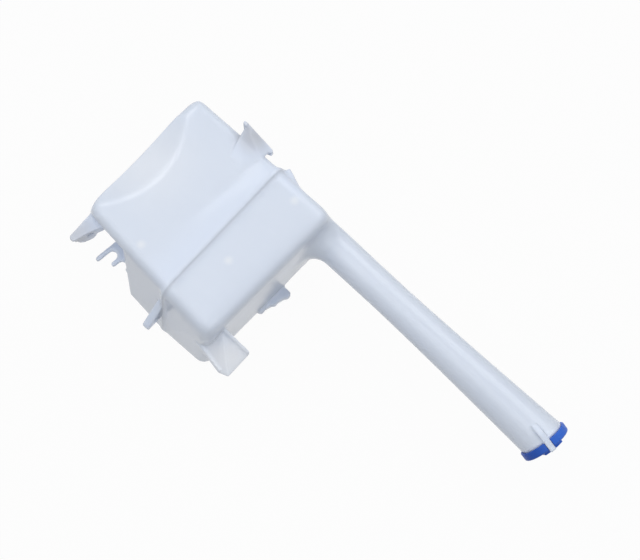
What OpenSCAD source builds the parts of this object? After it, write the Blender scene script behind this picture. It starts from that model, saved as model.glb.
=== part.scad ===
// Washer fluid reservoir: two moulded halves welded at a seam, a long filler neck and a push-on cap.
// Millimetres. It lies on its flat base: X runs towards the filler mouth, Z is up, the seam is X = 0.

/* [Tank] */
// Length of the rear half, from the weld seam to the closed end
rear_len = 117.5; // [106:0.5:126]
// Length of the front half, from the weld seam to the neck wall
front_len = 66.5; // [60:0.5:80]
// Height of the broad top face above the base
tank_h = 116; // [108:1:130]
// Reach of the top face to the right of the middle, at the closed end
right_rear_w = 89.5; // [84:0.5:96]
// Reach of the top face to the right of the middle, at the neck wall
right_front_w = 86.5; // [82:0.5:94]
// Reach of the top face to the left of the middle, at the closed end
left_rear_w = 71; // [66:1:80]
// Reach of the top face to the left of the middle, at the neck wall
left_front_w = 92; // [84:1:96]
// How much further out the left wall stands at the base than at the top
left_flare = 10; // [6:1:14]
// How much further out the right wall stands at the base than at the top
right_flare = 17; // [12:1:20]
// How far the neck wall leans back at the base
front_draft = 6.5; // [0:0.5:8]
// How much further forward the neck wall stands at its right end than in the middle
front_skew = 2.5; // [0:0.5:4]
// Outside radius of the moulded corners
corner_r = 11; // [9:0.5:13]
// Wall thickness
wall = 2.5; // [2:0.1:3.5]

/* [Weld rim] */
// How far the rear half's rim stands proud of the top
rim_proud = 4; // [2:0.5:6]
// How far the front half's rim stands proud of the top
front_rim_proud = 1; // [0.5:0.5:4]
// Thickness of the rim on each half
rim_t = 3; // [2:0.5:5]
// Length of the ramp that rises to the rim on the rear half
ramp_len = 26; // [18:1:36]
// Reach of the small tab on the left of the rim
rim_tab_reach = 23; // [12:1:26]

/* [Scooped end] */
// Length of the scoop along the top face, at its middle
scoop_len = 35.5; // [18:0.5:38]
// Slope of the scoop in degrees
scoop_tilt = 20; // [12:1:28]
// Radius of the scoop
scoop_r = 230; // [180:5:300]
// Distance of the scoop's middle to the right of the tank's middle
scoop_y = 3; // [-10:1:10]

/* [Leaning wall] */
// Distance from the seam to where the left wall starts to lean in
undercut_x = 62; // [58:1:66]
// Inward lean of the left wall towards the base, in degrees
undercut_lean = 14; // [10:1:16]

/* [Pump port] */
// Distance of the port to the left of the middle
port_left = 12; // [0:1:30]
// Height of the port above the base
port_z = 28; // [24:1:40]
// Bore of the port, which holds the grommet
port_d = 20; // [16:0.5:24]
// How far the port's boss stands out
boss_h = 6; // [4:0.5:9]
// Bore of the grommet, for the pump's inlet
inlet_d = 11.5; // [8:0.5:13]

/* [Filler neck] */
// Length of the neck from the neck wall to the cap's lower edge
neck_len = 299; // [250:1:330]
// Outside diameter of the neck at its root
neck_root_d = 37.6; // [35:0.2:40]
// Outside diameter of the neck at its waist
neck_waist_d = 36; // [32:0.5:38]
// Outside diameter of the neck at its end
neck_end_d = 46.6; // [45:0.2:48]
// Distance of the neck's root to the right of the middle
neck_y = 75.6; // [68:0.2:76]
// Height of the neck's root above the base
neck_z = 62; // [56:1:68]
// Turn of the neck to the left in degrees
neck_turn = 2.4; // [0:0.2:4]
// Turn of the mouth to the left in degrees
mouth_turn = 8; // [2:0.5:10]
// Downward tilt of the mouth in degrees
mouth_dip = 20; // [10:1:24]
// Outside diameter of the collar that carries the cap
collar_d = 45.4; // [44:0.2:46.4]
// Radius of the flare at the neck's root
flare_r = 22; // [14:1:24]
// Width of the key rib beside the mouth
key_w = 6.5; // [5:0.5:9]
// Turn of the key rib to the left of the mouth's top in degrees
key_side = 8; // [0:1:20]
// Height of the key rib above the neck
key_h = 3.5; // [2.5:0.5:5]

/* [Cap] */
// Outside diameter of the cap
cap_d = 51.7; // [51:0.1:56]
// Depth of the cap's skirt
cap_skirt = 6; // [5:0.5:12]
// Thickness of the cap's top
cap_t = 2.4; // [2:0.1:3.5]
// Width of the raised grip
grip_w = 22; // [16:1:28]
// Height of the raised grip
grip_h = 3.5; // [2:0.5:6]
// Free gap between the cap and the neck
cap_gap = 0.3; // [0.25:0.05:0.4]

/* [Mounting] */
// Diameter of the bolt holes
bolt_d = 6.6; // [5.5:0.1:8.5]
// Thickness of the mounting plates
plate_t = 4; // [3:0.5:5]
// Height of the rear ear's top above the base
ear_z = 92; // [82:1:96]
// Reach of the rear ear from the left wall
ear_reach = 24; // [18:1:30]
// Distance of the top bracket's middle from the seam
bracket_x = 38.5; // [34:0.5:44]
// Length of the top bracket
bracket_len = 37; // [32:1:44]
// Height of the top bracket above the top face
bracket_h = 15; // [10:1:22]
// Height of the foot above the base
foot_z = 62; // [50:1:70]
// Reach of the foot beyond the neck wall
foot_reach = 27; // [16:0.5:32]
// Width of the foot
foot_w = 30; // [24:1:36]
// How far the foot stands out to the left of the tank's top
foot_out = 3; // [0:1:8]

/* [Hose clips] */
// Distance of the first clip finger from the seam
clip_x = 84.5; // [82:0.5:90]
// Height of the clip fingers above the base
clip_z = 60; // [54:1:70]
// Distance from finger to finger
clip_pitch = 14.5; // [12:0.5:16]
// Width of a finger
clip_w = 4.5; // [3:0.5:6]
// Reach of the longest side finger
clip_reach = 20; // [14:1:24]
// Reach of the longest finger low on the neck wall
guide_reach = 12; // [8:1:14]

/* [Hidden] */
$fn = 64;
// Facets around a moulded corner, and around a small moulded edge
ball_fn = 24;
bead_fn = 12;
milky = [0.86, 0.89, 0.94];
cap_blue = [0.16, 0.34, 0.78];
rubber = [0.12, 0.12, 0.13];

// Weld rim: how proud it still is at the base, and the tab on its left
rim_base = 0.6;
tab_z = tank_h / 2;
rim_tab_w = 8;
rim_tab_t = 6;

// Small overlap that lets one form sink into the next, and the reach of a cutting form
sink = 1;
through = 40;

// Centres of the corner balls: the same for the outside and the cavity, so the wall is even
rear_x = corner_r - rear_len;
front_left_x = front_len - front_skew - corner_r;
front_right_x = front_len + front_skew - corner_r;
z_top = tank_h - corner_r;
z_base = corner_r;

// Reach of the side walls at the top, and their ball centres at the top and at the base
tank_len = rear_len + front_len;
function left_w(x) = left_rear_w + (left_front_w - left_rear_w) * (x + rear_len) / tank_len;
function right_w(x) = right_rear_w + (right_front_w - right_rear_w) * (x + rear_len) / tank_len;
function left_top(x) = corner_r - left_w(x);
function left_base(x) = left_top(min(x, 0)) - left_flare;
function right_top(x) = right_w(x) - corner_r;
function right_base(x) = right_top(x) + right_flare;

// How far out a leaning side wall stands at a height
function lean(flare) = atan(flare / (z_top - z_base));
function lean_out(z, flare) = (corner_r + (z_top - z) * sin(lean(flare))) / cos(lean(flare)) - corner_r;
function right_y(x, z) = right_w(x) + lean_out(z, right_flare);
function left_y(x, z) = -left_w(x) - lean_out(z, left_flare);

// Leaning wall: the corner where it starts at the top, and the slant of the upright wall there
undercut_slant = 45;
undercut_sink = 0.4;
side_angle = atan((left_front_w - left_rear_w) / tank_len);
undercut_at = [-undercut_x, undercut_sink - left_w(-undercut_x)];

// Ramp on the rear half: its left end runs further back
ramp_bend = [14, 33];
ramp_inset = 0.4;

// Pump port and grommet
port_wall = 5;
port_rim = 5;
grommet_gap = 0.3;
grommet_t = 3;
grommet_flange = 4;
grommet_rim = 1.2;
grommet_flange_d = port_d + 2 * grommet_flange;
grommet_rim_d = port_d + 2 * grommet_rim;
seat_t = boss_h + wall + grommet_gap;

// Neck: it narrows to a waist and widens towards the mouth
neck_root = front_len + front_skew - front_draft * (1 - neck_z / tank_h);
neck_sink = 4;
neck_back = wall + neck_sink;
neck_steps = 6;
waist_u = neck_len / 3;
neck_past = 14;
neck_swell = 1.3;
root_r = neck_root_d / 2;
waist_r = neck_waist_d / 2;
end_r = neck_end_d / 2;
function neck_r(u) = u < waist_u
    ? waist_r + (root_r - waist_r) * pow(1 - u / waist_u, 2)
    : waist_r + (end_r - waist_r) * pow((u - waist_u) / (neck_len - waist_u), neck_swell);

// Collar: it stands on the neck's slanted end
mouth_r = collar_d / 2;
shoulder = cap_skirt + sink;
collar_sink = 3;
collar_step = 0.6;

// Key rib, measured from the mouth: it starts on the neck, passes the cap in a notch and ends beyond it
key_start = -26;
key_full = -16;
key_foot = 4;
key_root = 1;
key_past = 3;
key_end = cap_gap + cap_t + key_past;

// Cap
cap_r = cap_d / 2;
cap_edge = 1.2;
plug_depth = 6;
plug_t = 2;
plug_r = mouth_r - wall - cap_gap;
grip_margin = 6;
grip_len = cap_d - 2 * grip_margin;
grip_lift = 0.5;
cap_top = cap_gap + cap_t;

// Rear ear: a web with a round lobe that leaves the left wall at a slant, under a small top plate
ear_slant = 24;
ear_sink = 12;
ear_back = 22;
ear_x = ear_back - rear_len;
ear_root = [ear_x, ear_sink - left_w(ear_x)];
ear_span = (ear_reach + ear_sink) / cos(ear_slant);
ear_tip = ear_root - ear_span * [sin(ear_slant), cos(ear_slant)];
ear_tip_r = 4;
ear_depth = 13;
ear_lobe_r = 11;
ear_lobe = [ear_span - 1.2 * ear_lobe_r, ear_z - ear_depth];
ear_hole_in = 17;
bolt_land = 1.5;
ear_hole = [ear_span - ear_hole_in, ear_z - plate_t - bolt_d / 2 - bolt_land];

// Top bracket: an upright plate outside the right wall, with a hollow web and two gussets
bracket_gap = 5.5;
bracket_y = right_w(-bracket_x) + bracket_gap;
bracket_low = 28;
bracket_fall = 20;
bracket_cut = 12;
bracket_lip = 2;
bracket_web_t = 3;
bracket_web_len = 25;
bracket_web_y = right_w(-bracket_x) - bracket_web_len;
bracket_fold = 11;
bracket_fold_h = 2.5;
gusset_t = 3;
bracket_hole_drop = 12;
bracket_hole_z = tank_h - bracket_hole_drop;

// Foot: a sloping plate around the front left corner, with a rib on its right
foot_right = foot_w - left_front_w - foot_out;
foot_left = foot_right - foot_w;
foot_cut = 9;
foot_end = front_len + foot_reach;
foot_back = 26;
foot_back_rise = 10;
foot_root_in = 5;
foot_root_rise = 26;
foot_rib_t = 3;
foot_rib_h = 2.5;

// Finger plates
finger_root = 15;
clip_t = 5;
clip_fall = 8;
guide_y = 17;
guide_z = 6;
guide_fall = 4.5;
guide_t = 8;
guide_r = 4.5;

// Side gusset of the rim on the right of the front half
fin_len = 25;
fin_low = 30;

// Moulded corner: its flats lie on the nominal faces
module ball(at, inset) {
    translate(at) sphere(r = (corner_r - inset) / cos(180 / ball_fn), $fn = ball_fn);
}

// Rounded corner where a half ends at the seam; the cavity runs a little past it
module seam_disc(y, z, inset) {
    reach = inset > 0 ? sink : 0;
    translate([-sink, y, z])
        rotate([0, 90, 0])
            cylinder(r = corner_r - inset, h = sink + reach, $fn = ball_fn);
}

// Plain box of the rear half
module rear_block(inset) {
    hull() {
        ball([rear_x, left_top(rear_x), z_top], inset);
        ball([rear_x, right_top(rear_x), z_top], inset);
        ball([rear_x, left_base(rear_x), z_base], inset);
        ball([rear_x, right_base(rear_x), z_base], inset);
        seam_disc(left_top(0), z_top, inset);
        seam_disc(right_top(0), z_top, inset);
        seam_disc(left_base(0), z_base, inset);
        seam_disc(right_base(0), z_base, inset);
    }
}

// Room beside the tank: a long wall that leans in towards the base, and a slanted upright wall at its end
module undercut(inset) {
    intersection() {
        translate([undercut_at[0], undercut_at[1], z_top])
            rotate([undercut_lean, 0, -side_angle])
                outside(inset);
        translate([undercut_at[0], undercut_at[1], 0])
            rotate([0, 0, -undercut_slant])
                outside(inset);
    }
}

// Space outside one wall of the undercut
module outside(inset) {
    translate([-tank_len, inset - tank_len, -tank_len])
        cube([2 * tank_len, tank_len, 2 * tank_len]);
}

// Curved scoop across the top edge of the closed end
module scoop(inset) {
    translate([scoop_len - rear_len, scoop_y, tank_h])
        rotate([0, -scoop_tilt, 0])
            translate([0, 0, scoop_r])
                rotate([0, 90, 0])
                    cylinder(r = scoop_r + inset, h = 4 * scoop_len, center = true, $fn = 128);
}

// Rear half as one form: outside when inset is 0, cavity when it is the wall
module rear_form(inset) {
    difference() {
        rear_block(inset);
        scoop(inset);
        undercut(inset);
    }
}

// Ramp that thickens the top of the rear half towards the rim
module rim_ramp() {
    bend_x = -ramp_len - ramp_bend[0];
    hull() {
        ball([-ramp_len, right_top(-ramp_len) - ramp_inset, z_top - ramp_inset], 0);
        ball([-ramp_len, -ramp_bend[1], z_top - ramp_inset], 0);
        ball([bend_x, left_top(bend_x) + ramp_inset, z_top - ramp_inset], 0);
        seam_disc(right_top(0) - ramp_inset, z_top + rim_proud, 0);
        seam_disc(left_top(0) + ramp_inset, z_top + rim_proud, 0);
    }
}

// Weld rim of one half, which fades out towards the base
module weld_rim(start, proud) {
    rim_r = corner_r + proud;
    low_r = corner_r + rim_base;
    difference() {
        translate([start, 0, 0])
            rotate([90, 0, 90])
                linear_extrude(rim_t)
                    hull() {
                        translate([left_top(0), z_top]) circle(rim_r);
                        translate([right_top(0), z_top]) circle(rim_r);
                        translate([left_base(0), z_base]) circle(low_r);
                        translate([right_base(0), z_base]) circle(low_r);
                    }
        translate([-through, 2 * left_y(0, 0), -through])
            cube([2 * through, 4 * right_base(0), through]);
    }
}

// Small locating tab on the left of the rim
module rim_tab() {
    tab_y = left_y(0, tab_z);
    translate([-rim_tab_w, 0, 0])
        rotate([90, 0, 90])
            linear_extrude(rim_tab_w)
                polygon([[tab_y + sink, tab_z + rim_tab_reach], [tab_y - rim_tab_reach, tab_z],
                         [tab_y - rim_tab_reach, tab_z - rim_tab_t], [tab_y + sink, tab_z - rim_tab_t]]);
}

// Row of clip fingers of falling length on a wall along X, with round gaps between them
module fingers(count, pitch, width, reach, fall) {
    gap_r = (pitch - width) / 2;
    difference() {
        union() {
            for (i = [0 : count - 1]) {
                length = reach - i * fall - width / 2;
                translate([i * pitch - width / 2, -length]) square([width, length + finger_root]);
                translate([i * pitch, -length]) circle(width / 2);
            }
            translate([-width / 2, -gap_r]) square([(count - 1) * pitch + width, gap_r + finger_root]);
        }
        for (i = [0 : count - 2]) translate([(i + 0.5) * pitch, -gap_r]) circle(gap_r);
    }
}

// Hose clip on the leaning left wall
module hose_clip() {
    translate([-clip_x, -left_w(-clip_x), clip_z - clip_t / 2])
        rotate([0, 0, -side_angle])
            linear_extrude(clip_t)
                fingers(3, clip_pitch, clip_w, clip_reach, clip_fall);
}

// Frame of the pump port: -Y out of the closed end
module on_port() {
    translate([-rear_len, -port_left, port_z])
        rotate([0, 0, -90])
            children();
}

// Bored boss that takes the pump's grommet
module pump_boss() {
    on_port()
        translate([0, port_wall, 0])
            rotate([90, 0, 0])
                cylinder(d = port_d + 2 * port_rim, h = boss_h + port_wall);
}

// Bore through the boss and the wall
module port_bore() {
    on_port()
        rotate([90, 0, 0])
            cylinder(d = port_d, h = through, center = true);
}

// Frame of the ear's web: X along the web from the wall, Y up
module on_ear() {
    translate([ear_root[0], ear_root[1], 0])
        rotate([90, 0, -90 - ear_slant])
            children();
}

// Rear ear: slanting web with a round lobe, under a three-cornered top plate
module rear_ear() {
    on_ear()
        linear_extrude(plate_t, center = true) {
            translate([0, ear_z - ear_depth]) square([ear_span, ear_depth]);
            translate(ear_lobe) circle(ear_lobe_r);
        }
    translate([0, 0, ear_z - plate_t])
        linear_extrude(plate_t) {
            polygon([
                ear_root + [0, sink],
                [sink - rear_len, ear_root[1]],
                [ear_tip[0] - ear_tip_r, ear_tip[1]],
                ear_tip + [ear_tip_r, 0]
            ]);
            translate(ear_tip) circle(ear_tip_r);
        }
}

// Bolt hole of the rear ear
module ear_bolt() {
    on_ear()
        translate([ear_hole[0], ear_hole[1], 0])
            cylinder(d = bolt_d, h = 3 * plate_t, center = true);
}

// Top bracket: upright plate, hollow web in two folds and two gussets
module top_bracket() {
    rear_end = -bracket_x - bracket_len / 2;
    front_end = rear_end + bracket_len;
    low = tank_h - bracket_low;
    high = tank_h + bracket_h;
    web_y = bracket_y + plate_t / 2;
    fold_y = bracket_y - bracket_fold;
    fold_z = tank_h + bracket_fold_h;
    translate([0, bracket_y + plate_t, 0])
        rotate([90, 0, 0])
            linear_extrude(plate_t)
                polygon([[rear_end, low], [front_end - bracket_cut, low],
                         [front_end, high - 1.5 * bracket_fall], [front_end, high - bracket_fall],
                         [rear_end, high]]);
    hull() {
        bead([rear_end + plate_t, web_y, high - bracket_lip - bracket_web_t]);
        bead([front_end - plate_t / 2, web_y, high - bracket_fall - bracket_web_t / 2]);
        bead([rear_end + 0.15 * bracket_len, fold_y, fold_z]);
        bead([front_end - 0.1 * bracket_len, fold_y, tank_h - sink]);
    }
    hull() {
        bead([rear_end + 0.15 * bracket_len, fold_y, fold_z]);
        bead([front_end - 0.1 * bracket_len, fold_y, tank_h - sink]);
        bead([rear_end + 0.3 * bracket_len, bracket_web_y, tank_h - sink]);
        bead([front_end - 0.25 * bracket_len, bracket_web_y, tank_h - sink]);
    }
    for (x = [rear_end + 2 * gusset_t, front_end - 4 * gusset_t])
        translate([x, 0, 0])
            rotate([90, 0, 90])
                linear_extrude(gusset_t, center = true)
                    polygon([[fold_y, tank_h - 2 * sink], [bracket_y + sink, tank_h],
                             [bracket_y + sink, low + sink], [right_w(x) - sink, low + sink]]);
}

// Rounded edge of the bracket's web
module bead(at) {
    translate(at) sphere(d = bracket_web_t, $fn = bead_fn);
}

// Bolt hole of the top bracket
module bracket_bolt() {
    translate([-bracket_x, bracket_y + plate_t / 2, bracket_hole_z])
        rotate([90, 0, 0])
            cylinder(d = bolt_d, h = 3 * plate_t, center = true);
}

// Rear half with its ear, hose clip, bracket and pump port
module rear_shell() {
    color(milky)
        difference() {
            union() {
                rear_form(0);
                rim_ramp();
                weld_rim(-rim_t, rim_proud);
                rim_tab();
                hose_clip();
                pump_boss();
                rear_ear();
                top_bracket();
            }
            rear_form(wall);
            port_bore();
            ear_bolt();
            bracket_bolt();
        }
}

// Front half as one form: outside when inset is 0, cavity when it is the wall
module front_form(inset) {
    hull() {
        ball([front_left_x, left_top(front_left_x), z_top], inset);
        ball([front_right_x, right_top(front_right_x), z_top], inset);
        ball([front_left_x - front_draft, left_base(front_left_x), z_base], inset);
        ball([front_right_x - front_draft, right_base(front_right_x), z_base], inset);
        mirror([1, 0, 0]) {
            seam_disc(left_top(0), z_top, inset);
            seam_disc(right_top(0), z_top, inset);
            seam_disc(left_base(0), z_base, inset);
            seam_disc(right_base(0), z_base, inset);
        }
    }
}

// Frame of the neck: Z along the neck from its root, -X up
module on_neck() {
    translate([neck_root, neck_y, neck_z])
        rotate([0, 90, -neck_turn])
            children();
}

// Frame of the mouth: Z out of the mouth, -X up
module on_mouth() {
    translate([neck_root + neck_len * cos(neck_turn), neck_y - neck_len * sin(neck_turn), neck_z])
        rotate([0, 90 + mouth_dip, -mouth_turn])
            translate([0, 0, cap_skirt])
                children();
}

// Neck as one form: outside when inset is 0, passage when it is the wall
module neck_form(inset) {
    ends = inset > 0 ? sink : 0;
    cut = -shoulder - collar_step * inset;
    difference() {
        neck_tube(inset, ends);
        on_mouth() translate([-through, -through, cut]) cube(2 * through);
    }
    on_mouth()
        translate([0, 0, cut - collar_sink])
            cylinder(r = mouth_r - inset, h = collar_sink - cut + ends);
    flare(inset, ends);
}

// Straight tube from the tank to past the slanted end
module neck_tube(inset, ends) {
    upper = neck_len - waist_u;
    tube = [for (i = [0 : 2 * neck_steps])
        let (u = i < neck_steps ? waist_u * i / neck_steps : waist_u + upper * (i / neck_steps - 1))
        [neck_r(u) - inset, u]];
    on_neck()
        rotate_extrude()
            polygon(concat([[0, 2 * ends - neck_back], [root_r - inset, 2 * ends - neck_back]], tube,
                           [[end_r - inset, neck_len + neck_past], [0, neck_len + neck_past]]));
}

// Flare at the neck's root, cut off along the right wall
module flare(inset, ends) {
    foot_r = neck_r(flare_r);
    bend_r = flare_r + inset;
    rim_r = foot_r + flare_r - inset;
    bend = [for (a = [15 : 15 : 75]) [foot_r + flare_r - bend_r * cos(a), flare_r - bend_r * sin(a)]];
    tail = [foot_r - inset - 1.5 * sink, flare_r + 4 * sink];
    intersection() {
        on_neck()
            rotate_extrude()
                polygon(concat([[0, tail[1]], tail], bend,
                               [[rim_r, -inset], [rim_r, ends - neck_back], [0, ends - neck_back]]));
        rotate([90, 0, 90])
            linear_extrude(front_len + 2 * flare_r)
                polygon([[0, z_base], [right_y(front_len, z_base) - inset - sink, z_base],
                         [right_y(front_len, z_top) - inset - sink, z_top], [0, z_top]]);
    }
}

// Key rib beside the mouth
module key_rib() {
    on_mouth()
        rotate([90, 0, key_side])
            linear_extrude(key_w, center = true)
                polygon([[key_root - mouth_r, key_full], [key_root - mouth_r, key_end],
                         [-mouth_r - key_h, key_end], [-mouth_r - key_h, key_full],
                         [key_foot - mouth_r, key_start]]);
}

// Foot: sloping plate, hollow below, with a rib along its right edge
module foot() {
    difference() {
        foot_fan();
        translate([0, 0, -plate_t]) foot_fan();
    }
    hull() {
        foot_bead(foot_points()[0], foot_rib_h);
        foot_bead(foot_points()[1], foot_rib_h);
    }
}

// Corners of the foot's top: at the neck wall, along the outer end and on the left wall
function foot_points() = [
    [front_len - foot_root_in, foot_right - foot_rib_t, foot_z + foot_root_rise],
    [foot_end, foot_right, foot_z],
    [foot_end, foot_left, foot_z],
    [foot_end - foot_cut, foot_left - foot_rib_t, foot_z],
    [foot_back, -left_w(foot_back), foot_z + foot_back_rise]
];

// Solid below the foot's sloping top
module foot_fan() {
    hull() for (at = foot_points()) foot_bead(at, 0);
}

// Rounded corner of the foot
module foot_bead(at, lift) {
    translate([at[0] - foot_rib_t / 2, at[1], at[2] + lift]) sphere(d = foot_rib_t, $fn = bead_fn);
}

// Hose guide low on the neck wall: a plate with a wavy edge
module hose_guide() {
    span = 2 * clip_pitch;
    lap = [0, guide_fall, 2 * guide_fall];
    translate([front_len - front_draft, guide_y, guide_z - guide_t / 2])
        rotate([0, 0, 90])
            mirror([1, 0, 0])
                linear_extrude(guide_t) {
                    polygon([[-guide_r, finger_root], [-guide_r, guide_r - guide_reach],
                             [span, guide_r + lap[2] - guide_reach], [span + guide_r, finger_root]]);
                    for (i = [0 : 2])
                        translate([i * clip_pitch, guide_r + lap[i] - guide_reach]) circle(guide_r);
                }
}

// Side gusset that runs from the rim into the right wall
module rim_fin() {
    translate([0, 0, z_top - fin_low])
        linear_extrude(fin_low)
            polygon([[rim_t - sink, right_top(0)], [rim_t - sink, right_y(0, z_top - fin_low) + rim_proud],
                     [rim_t + fin_len, right_w(fin_len)], [rim_t + fin_len, right_top(fin_len)]]);
}

// Front half with the filler neck, its key rib, the foot and the hose guide
module front_shell() {
    color(milky)
        difference() {
            union() {
                front_form(0);
                weld_rim(0, front_rim_proud);
                rim_fin();
                neck_form(0);
                key_rib();
                foot();
                hose_guide();
            }
            front_form(wall);
            neck_form(wall);
        }
}

// Push-on cap with a plug, a raised grip and a notch for the key rib
module filler_cap() {
    inner_r = mouth_r + cap_gap;
    color(cap_blue)
        on_mouth()
            difference() {
                union() {
                    rotate_extrude()
                        polygon([[0, cap_gap], [plug_r - plug_t, cap_gap], [plug_r - plug_t, -plug_depth],
                                 [plug_r, -plug_depth], [plug_r, cap_gap], [inner_r, cap_gap],
                                 [inner_r, -cap_skirt], [cap_r, -cap_skirt], [cap_r, cap_top - cap_edge],
                                 [cap_r - cap_edge, cap_top], [0, cap_top]]);
                    grip();
                }
                key_notch();
            }
}

// Raised grip across the cap
module grip() {
    translate([0, 0, cap_top - grip_lift])
        linear_extrude(grip_h + grip_lift)
            intersection() {
                square([grip_len, grip_w], center = true);
                circle(d = grip_len);
            }
}

// Notch in the cap's rim that clears the key rib
module key_notch() {
    notch_in = mouth_r - key_root - cap_gap;
    rotate([0, 0, key_side])
        translate([-notch_in - through, -key_w / 2 - cap_gap, -through])
            cube([through, key_w + 2 * cap_gap, 2 * through]);
}

// Rubber grommet seated in the pump port
module pump_grommet() {
    color(rubber)
        on_port()
            translate([0, -boss_h, 0])
                rotate([90, 0, 0])
                    rotate_extrude()
                        polygon([[inlet_d / 2, -seat_t - grommet_t], [port_d / 2, -seat_t - grommet_t],
                                 [grommet_rim_d / 2, -seat_t], [port_d / 2, -seat_t], [port_d / 2, 0],
                                 [grommet_flange_d / 2, 0], [grommet_flange_d / 2, grommet_t],
                                 [inlet_d / 2, grommet_t]]);
}

rear_shell();
front_shell();
filler_cap();
pump_grommet();
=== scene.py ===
"""Looks of a washer fluid reservoir: milky moulded halves, a blue filler cap and a rubber pump grommet."""

import math

import bmesh
import bpy
from mathutils import Matrix, Vector


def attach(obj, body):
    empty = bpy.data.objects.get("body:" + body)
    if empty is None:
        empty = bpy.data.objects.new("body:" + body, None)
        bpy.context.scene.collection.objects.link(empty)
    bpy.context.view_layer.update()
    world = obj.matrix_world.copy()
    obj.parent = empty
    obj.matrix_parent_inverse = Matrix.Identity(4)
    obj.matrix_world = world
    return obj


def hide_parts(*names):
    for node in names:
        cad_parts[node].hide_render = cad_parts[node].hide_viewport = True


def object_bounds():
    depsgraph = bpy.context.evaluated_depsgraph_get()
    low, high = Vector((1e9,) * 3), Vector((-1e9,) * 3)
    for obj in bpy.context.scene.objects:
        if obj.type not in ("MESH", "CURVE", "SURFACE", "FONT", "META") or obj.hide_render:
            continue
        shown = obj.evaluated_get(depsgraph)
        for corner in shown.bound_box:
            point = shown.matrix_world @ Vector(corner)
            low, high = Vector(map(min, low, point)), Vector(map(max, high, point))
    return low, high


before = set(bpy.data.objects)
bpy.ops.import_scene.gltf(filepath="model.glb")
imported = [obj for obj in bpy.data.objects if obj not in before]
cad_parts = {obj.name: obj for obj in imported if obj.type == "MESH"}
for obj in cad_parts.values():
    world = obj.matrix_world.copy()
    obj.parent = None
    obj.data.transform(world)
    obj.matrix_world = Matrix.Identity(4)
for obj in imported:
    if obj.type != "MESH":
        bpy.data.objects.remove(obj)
cad_low, cad_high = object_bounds()

bl_info = {
    "name": "Washer Fluid Reservoir",
    "version": (1, 0, 0),
    "blender": (4, 5, 0),
    "location": "View3D > Sidebar > Reservoir",
    "description": "Dresses the reservoir's solids with softened mouldings and plastic finishes",
    "category": "Object",
}

PHOTO_WIDTH = 640
SENSOR = 36.0
MILLIMETRE = 0.001
FAR = 1.0
WHITE = (1.0, 1.0, 1.0, 1.0)

# Middles of the mould marks, of the painted shade on the ear, bracket and cap, and of the painted light on
# the foot and scoop, in metres
MOULD_MARKS = ((0.025, -0.018, 0.116), (0.032, 0.071, 0.116), (-0.05, -0.063, 0.116))
EAR_MIDDLE = (-0.113, -0.094, 0.085)
BRACKET_MIDDLE = (-0.043, 0.095, 0.12)
FOOT_MIDDLE = (0.08, -0.081, 0.063)
SCOOP_MIDDLE = (-0.104, 0.003, 0.107)
CAP_SHADE = (0.372, 0.039, 0.07)

# Corners of small forms on the tank, in millimetres
GUIDE_WEB = [(x, y, z) for z in (2.5, 9.5)
             for x, y in ((50, 21), (70, 21), (70, 14), (61, -13.5), (50, -16))]
RIM_GUSSET = [(1, 78, 115), (1, 91, 104.5), (1, 91, 90), (30, 85.5, 104),
              (30, 77, 115), (1, 78, 90), (30, 77, 90)]
BRACKET_PRONG = [(x, y, z) for x in (-57, -52.5) for y in (93.2, 97.2) for z in (116, 130)]

# Foot ribs: half the thickness, then the side's corners at the root and at the tip, in millimetres
RIGHT_RIB = (1.6, ((61, -68, 80), (61, -68, 93), (92, -65, 61), (92, -65, 67)))
LEFT_RIB = (1.5, ((26, -87, 70), (26, -87, 77), (84, -97, 60), (84, -97, 66)))

# Boxes in which edges stay finer, from the low to the high corner, in metres; FAR lies beyond the part
FINE_BOXES = {
    "fingers and ear": ((-FAR, -FAR, -FAR), (-0.045, -0.078, FAR)),
    "foot": ((0.02, -FAR, -FAR), (FAR, -0.055, 0.094)),
    "bracket": ((-FAR, 0.094, 0.085), (FAR, FAR, FAR)),
    "hose guide": ((0.062, -FAR, -FAR), (FAR, FAR, 0.012)),
    "mouth": ((0.33, -FAR, -FAR), (FAR, FAR, FAR)),
}
FINE_SHARE = 0.3

# Broad rounding: the share in each zone, and the places between which it fades in or out, in metres
TOP_RISE = (0.098, 0.104)
SCOOP_SHARE = 0.4
SCOOP_REACH = (0.014, 0.007)
SCOOP_EDGE_MIDDLE = (-0.082, 0.003)
SCOOP_EDGE_BEND = 0.157
FRONT_START = (0.005, 0.018)
FRONT_END = (0.085, 0.075)
FRONT_LOW = 0.078
FRONT_RISE = 0.014
FOOT_LOW = 0.09
FOOT_SIDE = -0.06
FOOT_BACK = 0.05
RIGHT_EDGE = (0.05, 0.07)
RIGHT_EDGE_LOSS = 0.8
RAMP_SHARE = 0.2
RAMP_START = (-0.062, -0.05)
RAMP_END = (-0.004, -0.01)
RAMP_SIDE = (0.06, 0.055)
RIM_SHARE = 0.15
RIM_REACH = (0.014, 0.008)
FLARE_SHARE = 0.3
FLARE_START = (0.045, 0.056)
FLARE_END = (0.088, 0.074)
FLARE_SIDE = (0.025, 0.035)

# How near points are joined, how near the seam they snap to it, and how far one smoothing pass moves them
SAME_POINT = 0.001 * MILLIMETRE
SLIVER = 0.05 * MILLIMETRE
SEAM_SNAP = 0.0001 * MILLIMETRE
SMOOTH_STEP = 0.5

# Lamps: direction from the tank, width in metres and tint
LAMP_DISTANCE = 2.2
LAMP_TINT = (0.98, 0.99, 1.0)
LAMPS = {
    "overhead": ((-0.35, -0.3, 1.0), 1.8, (0.97, 0.985, 1.0)),
    "side": ((0.05, 0.75, 0.9), 1.4, LAMP_TINT),
    "front": ((0.6, -0.3, 0.85), 1.4, LAMP_TINT),
    "window": ((-0.68, 0.2, 0.7), 0.7, LAMP_TINT),
}
FLOOR_REACH = 15.0
FLOOR_GAP = 0.5 * MILLIMETRE
FLOOR_WHITE = 0.96


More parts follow.
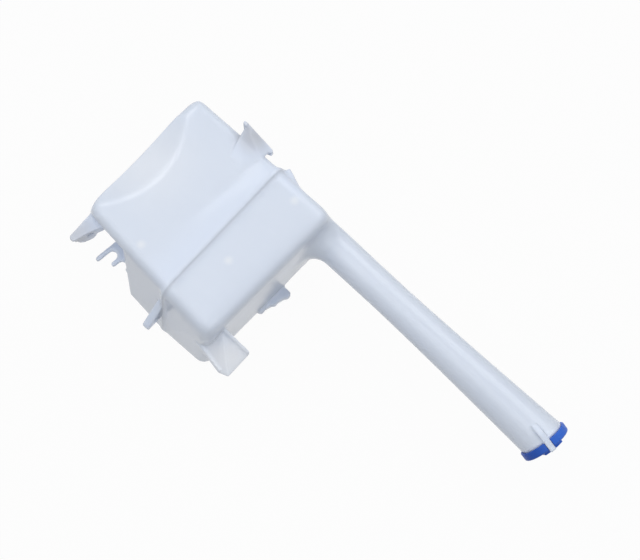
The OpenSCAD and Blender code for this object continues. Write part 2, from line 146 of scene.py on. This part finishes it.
class Wire:
    """A node's output socket that takes part in plain arithmetic."""

    def __init__(self, finish, socket):
        self.finish = finish
        self.socket = socket

    def _math(self, operation, first, second):
        return self.finish.node("ShaderNodeMath", {"operation": operation}, {0: first, 1: second})

    def __add__(self, other):
        return self._math("ADD", self, other)

    def __radd__(self, other):
        return self._math("ADD", other, self)

    def __sub__(self, other):
        return self._math("SUBTRACT", self, other)

    def __rsub__(self, other):
        return self._math("SUBTRACT", other, self)

    def __mul__(self, other):
        return self._math("MULTIPLY", self, other)

    def __rmul__(self, other):
        return self._math("MULTIPLY", other, self)


class Finish:
    """A node tree that is filled one node at a time."""

    def __init__(self, tree):
        self.tree = tree
        tree.nodes.clear()

    def node(self, kind, settings=None, inputs=None, out=0):
        """Adds a node, sets it up, feeds its sockets and hands back one of its outputs."""
        made = self.tree.nodes.new(kind)
        for key, value in (settings or {}).items():
            if key == "stops":
                for stop, (place, colour) in zip(made.color_ramp.elements, value):
                    stop.position, stop.color = place, colour
            else:
                setattr(made, key, value)
        for key, value in (inputs or {}).items():
            if isinstance(value, Wire):
                self.tree.links.new(value.socket, made.inputs[key])
            else:
                made.inputs[key].default_value = value
        return Wire(self, made.outputs[out]) if len(made.outputs) else None

    def place(self, stretch=(1, 1, 1)):
        """Object coordinates, scaled along the axes."""
        spot = self.node("ShaderNodeTexCoord", out="Object")
        return self.node("ShaderNodeMapping", inputs={"Vector": spot, "Scale": stretch})

    def noise(self, spot, scale, detail=2.0):
        """Soft noise from 0 to 1, in lumps of about one over scale metres."""
        inputs = {"Vector": spot, "Scale": scale, "Detail": detail}
        return self.node("ShaderNodeTexNoise", inputs=inputs, out="Fac")

    def ramp(self, value, low, high):
        """0 below low, 1 above high."""
        stops = [(low, (0, 0, 0, 1)), (high, (1, 1, 1, 1))]
        return self.node("ShaderNodeValToRGB", {"stops": stops}, {"Fac": value})

    def spot(self, place, centre, radius):
        """Round mark that fades from 1 at its centre to 0 at its radius."""
        ends = {0: place, 1: centre}
        reach = self.node("ShaderNodeVectorMath", {"operation": "DISTANCE"}, ends, out="Value")
        inputs = {"Value": reach, "From Min": 0.0, "From Max": radius, "To Min": 1.0, "To Max": 0.0}
        return self.node("ShaderNodeMapRange", {"interpolation_type": "SMOOTHSTEP"}, inputs)

    def between(self, share, first, second):
        """Colour between two colours."""
        return self.node("ShaderNodeMix", {"data_type": "RGBA"}, {0: share, 6: first, 7: second}, out=2)

    def bump(self, height, depth, strength):
        """Surface direction over a height of 0 to 1, in metres of depth."""
        return self.node("ShaderNodeBump", inputs={"Height": height, "Distance": depth, "Strength": strength})

    def surface(self, inputs):
        """Closes the tree with one plastic or rubber surface."""
        skin = self.node("ShaderNodeBsdfPrincipled", inputs=inputs)
        self.node("ShaderNodeOutputMaterial", inputs={"Surface": skin})


def new_material(name):
    """An empty material and the finish that fills it."""
    material = bpy.data.materials.new(name)
    material.use_nodes = True
    return material, Finish(material.node_tree)


def opaque(colour):
    """A colour with full alpha for a shader socket."""
    return (*colour, 1.0)


def milky_plastic(look):
    """Milky plastic with flow lines, grain and scuffs, with painted shade on the ear and bracket plates and
    painted light on the foot and scoop.
    """
    material, finish = new_material("milky_plastic")
    spot = finish.place()
    cloud = finish.noise(spot, scale=11.0, detail=3.0)
    flow = finish.noise(finish.place(stretch=(7, 60, 60)), scale=1.0, detail=3.0)
    grain = finish.noise(spot, scale=1400.0)
    ripple = finish.noise(spot, scale=45.0)
    scratches = finish.noise(finish.place(stretch=(40, 260, 160)), scale=1.0, detail=6.0)
    scuff = finish.ramp(scratches, low=0.66, high=0.74)
    marks = sum(finish.spot(spot, centre, radius=7.0 * MILLIMETRE) for centre in MOULD_MARKS)
    # Painted shade: a greyer tone on the ear and bracket plates, where they face away from the light
    painted_plate_shade = sum(finish.spot(spot, centre, radius=30.0 * MILLIMETRE) for centre in (EAR_MIDDLE, BRACKET_MIDDLE))
    # Painted light: a paler tone over the scooped end
    painted_scoop_light = finish.spot(spot, SCOOP_MIDDLE, radius=75.0 * MILLIMETRE)
    # Painted light: a paler tone on the foot, which lies in the tank's shadow
    painted_foot_light = finish.spot(spot, FOOT_MIDDLE, radius=42.0 * MILLIMETRE)
    tone = finish.between(cloud * 0.65 + flow * 0.35, opaque(look.pale), opaque(look.deep))
    tone = finish.between(scuff * 0.03, tone, opaque(look.worn))
    tone = finish.between(painted_plate_shade * 0.75, tone, opaque(look.painted_plate_shade))
    # Mould marks, and the painted light on the scoop and foot, all go toward the worn tone
    tone = finish.between(marks * 0.5 + painted_scoop_light * 0.4 + painted_foot_light, tone, opaque(look.worn))
    height = ripple * 0.75 + grain * 0.2 + flow * 0.05 + marks * 0.8
    finish.surface({
        "Base Color": tone,
        "Roughness": look.roughness + flow * 0.05 + scuff * 0.04 - 0.05,
        "Normal": finish.bump(height, depth=0.4 * MILLIMETRE, strength=0.35),
        "IOR": 1.45,
        "Subsurface Weight": look.glow,
        "Subsurface Radius": (1.0, 1.0, 1.0),
        "Subsurface Scale": look.glow_depth,
    })
    return material


def cap_plastic(look):
    """Blue satin plastic with painted shade on its left side, fine grain and worn spots."""
    material, finish = new_material("cap_plastic")
    spot = finish.place()
    cloud = finish.noise(spot, scale=60.0, detail=3.0)
    grain = finish.noise(spot, scale=1800.0)
    wear = finish.ramp(finish.noise(spot, scale=320.0, detail=6.0), low=0.62, high=0.72)
    # Painted shade: the cap's left side is darkened toward the deep blue
    shade = finish.spot(spot, CAP_SHADE, radius=46.0 * MILLIMETRE)
    tone = finish.between(cloud * 0.35 + shade * 0.6, opaque(look.colour), opaque(look.deep))
    tone = finish.between(wear * 0.12, tone, opaque(look.worn))
    finish.surface({
        "Base Color": tone,
        "Roughness": look.roughness + cloud * 0.12 + wear * 0.15,
        "Normal": finish.bump(grain, depth=0.15 * MILLIMETRE, strength=0.3),
        "Specular IOR Level": 0.2,
    })
    return material


def grommet_rubber(look):
    """Matte black rubber with a dusty bloom."""
    material, finish = new_material("grommet_rubber")
    spot = finish.place()
    bloom = finish.ramp(finish.noise(spot, scale=140.0, detail=5.0), low=0.4, high=0.75)
    grain = finish.noise(spot, scale=2200.0)
    finish.surface({
        "Base Color": finish.between(bloom, opaque(look.colour), opaque(look.dusty)),
        "Roughness": look.roughness + bloom * 0.15,
        "Normal": finish.bump(grain, depth=0.2 * MILLIMETRE, strength=0.5),
    })
    return material


def link(name, mesh):
    """A new object at the origin."""
    piece = bpy.data.objects.new(name, mesh)
    bpy.context.scene.collection.objects.link(piece)
    return piece


def solid_copy(node, name):
    """Closed copy of a solid, ready to be reshaped."""
    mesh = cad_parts[node].data.copy()
    mesh.name = name
    mesh.materials.clear()
    form = bmesh.new()
    form.from_mesh(mesh)
    bmesh.ops.remove_doubles(form, verts=form.verts, dist=SAME_POINT)
    form.to_mesh(mesh)
    form.free()
    return link(name, mesh)


def add_modifier(piece, kind, **settings):
    """Adds a modifier and sets it up."""
    modifier = piece.modifiers.new(kind.lower(), kind)
    for key, value in settings.items():
        setattr(modifier, key, value)


def settle(piece):
    """Turns what a piece's modifiers make into its mesh."""
    rough = piece.data
    graph = bpy.context.evaluated_depsgraph_get()
    piece.data = bpy.data.meshes.new_from_object(piece.evaluated_get(graph))
    piece.modifiers.clear()
    bpy.data.meshes.remove(rough)
    piece.data.name = piece.name
    piece.data.shade_smooth()


def soften(piece, voxel, most_faces, *zones):
    """Rounds a piece's edges off as a mould leaves them, in one zone or more.

    A zone is the number of passes and the function that gives their share at a point, or None for all of it.
    """
    add_modifier(piece, "REMESH", mode="VOXEL", voxel_size=voxel)
    settle(piece)
    for passes, share in zones:
        name = share.__name__ if share else ""
        if share:
            mark_zone(piece, name, share)
        add_modifier(piece, "SMOOTH", factor=SMOOTH_STEP, iterations=passes, vertex_group=name)
    triangles = 2 * len(piece.data.polygons)
    add_modifier(piece, "DECIMATE", ratio=min(1.0, most_faces / triangles))
    settle(piece)
    piece.vertex_groups.clear()


def mark_zone(piece, name, share):
    """Vertex group that holds the share a function gives for each point."""
    group = piece.vertex_groups.new(name=name)
    for point in piece.data.vertices:
        amount = share(point.co)
        if amount > 0:
            group.add((point.index,), amount, "REPLACE")


def fade(value, low, high):
    """0 at low, 1 at high and even between them."""
    return max(0.0, min(1.0, (value - low) / (high - low)))


def moulded_edges(point):
    """Full rounding on the tank itself, less on the forms that stand on it and at the mouth."""
    fine = any(all(least < value < most for least, value, most in zip(low, point, high))
               for low, high in FINE_BOXES.values())
    return FINE_SHARE if fine else 1.0


def broad_edges(point):
    """Share of the broad rounding at a point: most on the front half's top, least at the weld rim."""
    top = fade(point.z, *TOP_RISE)
    edge = SCOOP_EDGE_MIDDLE[0] - (point.y - SCOOP_EDGE_MIDDLE[1]) ** 2 / SCOOP_EDGE_BEND
    scoop = SCOOP_SHARE * top * fade(abs(point.x - edge), *SCOOP_REACH)
    low = FRONT_LOW if point.y > FOOT_SIDE or point.x < FOOT_BACK else FOOT_LOW
    front = fade(point.z, low, low + FRONT_RISE) * fade(point.x, *FRONT_START) * fade(point.x, *FRONT_END)
    front *= 1 - RIGHT_EDGE_LOSS * fade(point.y, *RIGHT_EDGE)
    ramp = RAMP_SHARE * top * fade(point.x, *RAMP_START) * fade(point.x, *RAMP_END)
    ramp *= fade(point.y, *RAMP_SIDE)
    rim = RIM_SHARE * top * fade(abs(point.x), *RIM_REACH)
    flare = FLARE_SHARE * fade(point.x, *FLARE_START) * fade(point.x, *FLARE_END)
    flare *= fade(point.y, *FLARE_SIDE)
    return max(scoop, front, ramp, rim, flare)


def rib_corners(half, side):
    """Corners of a rib that stands upright, from the corners of its side."""
    return [(x, y + shift, z) for x, y, z in side for shift in (-half, half)]


def add_solid(corners, tank):
    """Joins a closed block with the given corners, in millimetres, to the tank."""
    form = bmesh.new()
    for corner in corners:
        form.verts.new(Vector(corner) * MILLIMETRE)
    bmesh.ops.convex_hull(form, input=form.verts)
    bmesh.ops.recalc_face_normals(form, faces=form.faces)
    mesh = bpy.data.meshes.new("block")
    form.to_mesh(mesh)
    form.free()
    block = link("block", mesh)
    add_modifier(tank, "BOOLEAN", operation="UNION", solver="EXACT", object=block)
    return block


def cut_at_seam(mesh, side):
    """Keeps the part of a mesh on one side of the weld seam and closes its end."""
    form = bmesh.new()
    form.from_mesh(mesh)
    bmesh.ops.remove_doubles(form, verts=form.verts, dist=SLIVER)
    bmesh.ops.delete(form, geom=[point for point in form.verts if not point.link_faces], context="VERTS")
    bmesh.ops.bisect_plane(form, geom=[*form.verts, *form.edges, *form.faces], dist=SEAM_SNAP,
                           plane_co=(0, 0, 0), plane_no=(side, 0, 0), clear_inner=True)
    rim = [edge for edge in form.edges if edge.is_boundary]
    bmesh.ops.triangle_fill(form, use_beauty=True, edges=rim, normal=(-side, 0, 0))
    for edge in rim:
        edge.smooth = False
    form.to_mesh(mesh)
    form.free()


def dress(piece, material, body, node):
    """Gives a piece its finish and its place on a body, instead of the solid it was made from."""
    piece.data.materials.clear()
    piece.data.materials.append(material)
    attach(piece, body)
    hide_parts(node)


class TankLook(bpy.types.PropertyGroup):
    """Finish of the two tank halves."""

    pale: bpy.props.FloatVectorProperty(
        name="Pale", description="Lighter tone of the milky plastic", subtype="COLOR",
        default=(0.725, 0.78, 0.885), min=0, max=1)
    deep: bpy.props.FloatVectorProperty(
        name="Deep", description="Deeper tone of the milky plastic", subtype="COLOR",
        default=(0.67, 0.73, 0.845), min=0, max=1)
    # The worn tone also carries the painted light on the foot and scoop
    worn: bpy.props.FloatVectorProperty(
        name="Worn", description="Tone of the scuffs, the mould marks and the paler places", subtype="COLOR",
        default=(0.88, 0.9, 0.94), min=0, max=1)
    # Greyer tone of the painted shade on the ear and bracket plates
    painted_plate_shade: bpy.props.FloatVectorProperty(
        name="Thin", description="Greyer tone of the thin plates", subtype="COLOR",
        default=(0.5, 0.505, 0.53), min=0, max=1)
    roughness: bpy.props.FloatProperty(
        name="Roughness", description="Roughness of the clean plastic", subtype="FACTOR",
        default=0.24, min=0, max=1)
    glow: bpy.props.FloatProperty(
        name="Glow", description="Share of light that spreads inside the plastic", subtype="FACTOR",
        default=0.45, min=0, max=1)
    glow_depth: bpy.props.FloatProperty(
        name="Glow depth", description="How far light spreads inside the plastic", unit="LENGTH",
        default=6 * MILLIMETRE, min=0, max=0.05)
    voxel: bpy.props.FloatProperty(
        name="Voxel", description="Grid that the mouldings are rebuilt on", unit="LENGTH",
        default=1.0 * MILLIMETRE, min=0.0005, max=0.005)
    rounds: bpy.props.IntProperty(
        name="Rounds", description="Passes that round the moulded edges", default=14, min=0, max=60)
    broad_rounds: bpy.props.IntProperty(
        name="Broad rounds", description="Passes that round the front half's top and the scoop", default=600,
        min=0, max=1000)
    faces: bpy.props.IntProperty(
        name="Faces", description="Most triangles on the two halves together", default=275000,
        min=10000, max=290000)


class CapLook(bpy.types.PropertyGroup):
    """Finish of the filler cap."""

    colour: bpy.props.FloatVectorProperty(
        name="Colour", description="Blue of the cap", subtype="COLOR",
        default=(0.05, 0.18, 0.74), min=0, max=1)
    # The deep blue serves both the cap's random tone and its painted shade on the left side
    deep: bpy.props.FloatVectorProperty(
        name="Deep", description="Deeper blue of the cap", subtype="COLOR",
        default=(0.01, 0.05, 0.30), min=0, max=1)
    worn: bpy.props.FloatVectorProperty(
        name="Worn", description="Tone of the worn spots", subtype="COLOR",
        default=(0.20, 0.32, 0.75), min=0, max=1)
    roughness: bpy.props.FloatProperty(
        name="Roughness", description="Roughness of the cap", subtype="FACTOR", default=0.34, min=0, max=1)
    voxel: bpy.props.FloatProperty(
        name="Voxel", description="Grid that the cap is rebuilt on", unit="LENGTH",
        default=0.45 * MILLIMETRE, min=0.0003, max=0.002)
    rounds: bpy.props.IntProperty(
        name="Rounds", description="Passes that round the cap's edges", default=8, min=0, max=40)
    faces: bpy.props.IntProperty(
        name="Faces", description="Most triangles on the cap", default=90000, min=5000, max=190000)


class GrommetLook(bpy.types.PropertyGroup):
    """Finish of the pump grommet."""

    colour: bpy.props.FloatVectorProperty(
        name="Colour", description="Black of the rubber", subtype="COLOR",
        default=(0.014, 0.014, 0.016), min=0, max=1)
    dusty: bpy.props.FloatVectorProperty(
        name="Dusty", description="Tone of the dusty bloom", subtype="COLOR",
        default=(0.05, 0.05, 0.052), min=0, max=1)
    roughness: bpy.props.FloatProperty(
        name="Roughness", description="Roughness of the rubber", subtype="FACTOR", default=0.62, min=0, max=1)
    voxel: bpy.props.FloatProperty(
        name="Voxel", description="Grid that the grommet is rebuilt on", unit="LENGTH",
        default=0.35 * MILLIMETRE, min=0.0002, max=0.002)
    rounds: bpy.props.IntProperty(
        name="Rounds", description="Passes that round the grommet's edges", default=6, min=0, max=40)
    faces: bpy.props.IntProperty(
        name="Faces", description="Most triangles on the grommet", default=40000, min=2000, max=190000)


class StageLook(bpy.types.PropertyGroup):
    """Camera, light and floor."""

    azimuth: bpy.props.FloatProperty(
        name="Azimuth", description="Camera's turn round the tank", subtype="ANGLE",
        default=math.radians(41.8))
    elevation: bpy.props.FloatProperty(
        name="Elevation", description="Camera's height above the horizon", subtype="ANGLE",
        default=math.radians(73.0))
    distance: bpy.props.FloatProperty(
        name="Distance", description="From the camera to the point it looks at", unit="LENGTH",
        default=2.6, min=0.5, max=10)
    focus: bpy.props.FloatVectorProperty(
        name="Focus", description="Point that the camera looks at", subtype="TRANSLATION",
        default=(0.0939, 0.0395, 0.06))
    focal_pixels: bpy.props.FloatProperty(
        name="Focal length", description="Focal length in pixels of the picture", default=2600.0, min=300)
    overhead_power: bpy.props.FloatProperty(
        name="Overhead light", description="Power of the large lamp above the tank", unit="POWER",
        default=11.5, min=0)
    side_power: bpy.props.FloatProperty(
        name="Side light", description="Power of the large lamp on the neck's side", unit="POWER",
        default=13.0, min=0)
    front_power: bpy.props.FloatProperty(
        name="Front light", description="Power of the large lamp on the mouth's side", unit="POWER",
        default=6.5, min=0)
    window_power: bpy.props.FloatProperty(
        name="Window light", description="Power of the small lamp behind the scooped end", unit="POWER",
        default=6.0, min=0)
    ambient: bpy.props.FloatVectorProperty(
        name="Ambient", description="Light from all round", subtype="COLOR",
        default=(0.432, 0.442, 0.46), min=0, max=1)
    floor: bpy.props.FloatVectorProperty(
        name="Floor", description="Colour of the floor", subtype="COLOR",
        default=(0.5, 0.495, 0.49), min=0, max=1)


class RESERVOIR_OT_halves(bpy.types.Operator):
    """Mould the rear and the front half of the tank"""

    bl_idname = "reservoir.halves"
    bl_label = "Tank Halves"

    def execute(self, context):
        look = context.scene.reservoir_tank
        plastic = milky_plastic(look)
        rear = solid_copy("rear_shell", "rear_shell_moulding")
        front = solid_copy("front_shell", "front_shell_moulding")
        add_modifier(rear, "BOOLEAN", operation="UNION", solver="EXACT", object=front)
        small_forms = (GUIDE_WEB, RIM_GUSSET, BRACKET_PRONG, rib_corners(*RIGHT_RIB), rib_corners(*LEFT_RIB))
        blocks = [add_solid(corners, rear) for corners in small_forms]
        soften(rear, look.voxel, look.faces, (look.rounds, moulded_edges), (look.broad_rounds, broad_edges))
        used = [front.data, *(block.data for block in blocks)]
        front.data = rear.data.copy()
        for mesh in used:
            bpy.data.meshes.remove(mesh)
        for half, node, side in ((rear, "rear_shell", -1), (front, "front_shell", 1)):
            cut_at_seam(half.data, side)
            dress(half, plastic, "tank", node)
        return {"FINISHED"}


class RESERVOIR_OT_cap(bpy.types.Operator):
    """Mould the blue filler cap"""

    bl_idname = "reservoir.cap"
    bl_label = "Filler Cap"

    def execute(self, context):
        look = context.scene.reservoir_cap
        cap = solid_copy("filler_cap", "filler_cap_moulding")
        soften(cap, look.voxel, look.faces, (look.rounds, None))
        dress(cap, cap_plastic(look), "cap", "filler_cap")
        return {"FINISHED"}


class RESERVOIR_OT_grommet(bpy.types.Operator):
    """Mould the rubber grommet of the pump port"""

    bl_idname = "reservoir.grommet"
    bl_label = "Pump Grommet"

    def execute(self, context):
        look = context.scene.reservoir_grommet
        ring = solid_copy("pump_grommet", "pump_grommet_moulding")
        soften(ring, look.voxel, look.faces, (look.rounds, None))
        dress(ring, grommet_rubber(look), "tank", "pump_grommet")
        return {"FINISHED"}


class RESERVOIR_OT_stage(bpy.types.Operator):
    """Set up the floor, the light and the camera"""

    bl_idname = "reservoir.stage"
    bl_label = "Stage"

    def execute(self, context):
        look = context.scene.reservoir_stage
        self.lay_floor(look)
        self.light_room(context.scene, look)
        focus = Vector(look.focus)
        powers = (look.overhead_power, look.side_power, look.front_power, look.window_power)
        for (name, (way, width, tint)), power in zip(LAMPS.items(), powers):
            self.hang_lamp(name, focus, Vector(way), width, power, tint)
        self.aim_camera(context.scene, look, focus)
        return {"FINISHED"}

    def lay_floor(self, look):
        """Pale floor that the camera sees as white, with a faint shadow."""
        shape = bmesh.new()
        bmesh.ops.create_grid(shape, x_segments=1, y_segments=1, size=FLOOR_REACH,
                              matrix=Matrix.Translation((0, 0, cad_low.z - FLOOR_GAP)))
        mesh = bpy.data.meshes.new("floor")
        shape.to_mesh(mesh)
        shape.free()
        floor = link("floor", mesh)
        material, finish = new_material("floor")
        seen = self.seen_rays(finish)
        paint = finish.node("ShaderNodeBsdfDiffuse", inputs={"Color": opaque(look.floor)})
        white = finish.node("ShaderNodeEmission", inputs={"Color": WHITE, "Strength": 1.0})
        mixed = finish.node("ShaderNodeMixShader", inputs={0: seen * FLOOR_WHITE, 1: paint, 2: white})
        finish.node("ShaderNodeOutputMaterial", inputs={"Surface": mixed})
        mesh.materials.append(material)

    def light_room(self, scene, look):
        """Plain light from all round, in front of a white background."""
        world = bpy.data.worlds.new("room")
        world.use_nodes = True
        finish = Finish(world.node_tree)
        seen = self.seen_rays(finish)
        soft = finish.node("ShaderNodeBackground", inputs={"Color": opaque(look.ambient), "Strength": 1.0})
        white = finish.node("ShaderNodeBackground", inputs={"Color": WHITE, "Strength": 1.0})
        mixed = finish.node("ShaderNodeMixShader", inputs={0: seen, 1: soft, 2: white})
        finish.node("ShaderNodeOutputWorld", inputs={"Surface": mixed})
        scene.world = world

    def seen_rays(self, finish):
        """1 for what is looked at, directly or in a gloss, and 0 for light that falls on things."""
        camera = finish.node("ShaderNodeLightPath", out="Is Camera Ray")
        gloss = Wire(finish, camera.socket.node.outputs["Is Glossy Ray"])
        through = Wire(finish, camera.socket.node.outputs["Is Transmission Ray"])
        return camera + gloss + through

    def hang_lamp(self, name, focus, way, width, power, tint):
        """Square lamp that faces the tank."""
        lamp = bpy.data.lights.new(name, "AREA")
        lamp.size = width
        lamp.energy = power
        lamp.color = tint
        holder = bpy.data.objects.new(name, lamp)
        holder.location = focus + way.normalized() * LAMP_DISTANCE
        holder.rotation_mode = "QUATERNION"
        holder.rotation_quaternion = (-way).to_track_quat("-Z", "Y")
        bpy.context.scene.collection.objects.link(holder)

    def aim_camera(self, scene, look, focus):
        """Camera high above the tank, from the side of its foot and mouth."""
        out = Vector((math.sin(look.azimuth) * math.cos(look.elevation),
                      -math.cos(look.azimuth) * math.cos(look.elevation), math.sin(look.elevation)))
        lens = bpy.data.cameras.new("camera")
        lens.sensor_width = SENSOR
        lens.lens = SENSOR * look.focal_pixels / PHOTO_WIDTH
        holder = bpy.data.objects.new("camera", lens)
        holder.location = focus + out * look.distance
        holder.rotation_mode = "QUATERNION"
        holder.rotation_quaternion = (-out).to_track_quat("-Z", "Y")
        scene.collection.objects.link(holder)
        scene.camera = holder
        scene.view_settings.view_transform = "Standard"


class RESERVOIR_PT_panel(bpy.types.Panel):
    """Pieces of the reservoir"""

    bl_label = "Reservoir"
    bl_idname = "RESERVOIR_PT_panel"
    bl_space_type = "VIEW_3D"
    bl_region_type = "UI"
    bl_category = "Reservoir"

    def draw(self, context):
        for operator in OPERATORS:
            self.layout.operator(operator.bl_idname)


LOOKS = {
    "reservoir_tank": TankLook,
    "reservoir_cap": CapLook,
    "reservoir_grommet": GrommetLook,
    "reservoir_stage": StageLook,
}
OPERATORS = (RESERVOIR_OT_halves, RESERVOIR_OT_cap, RESERVOIR_OT_grommet, RESERVOIR_OT_stage)


def register():
    """Adds the looks, the operators and the panel to Blender."""
    for name, look in LOOKS.items():
        bpy.utils.register_class(look)
        setattr(bpy.types.Scene, name, bpy.props.PointerProperty(type=look))
    for piece in (*OPERATORS, RESERVOIR_PT_panel):
        bpy.utils.register_class(piece)


def unregister():
    """Takes them out again."""
    for piece in (RESERVOIR_PT_panel, *reversed(OPERATORS)):
        bpy.utils.unregister_class(piece)
    for name, look in reversed(LOOKS.items()):
        delattr(bpy.types.Scene, name)
        bpy.utils.unregister_class(look)


def main():
    """Makes every piece in order."""
    register()
    bpy.ops.reservoir.halves()
    bpy.ops.reservoir.cap()
    bpy.ops.reservoir.grommet()
    bpy.ops.reservoir.stage()


if __name__ == "__main__":
    main()
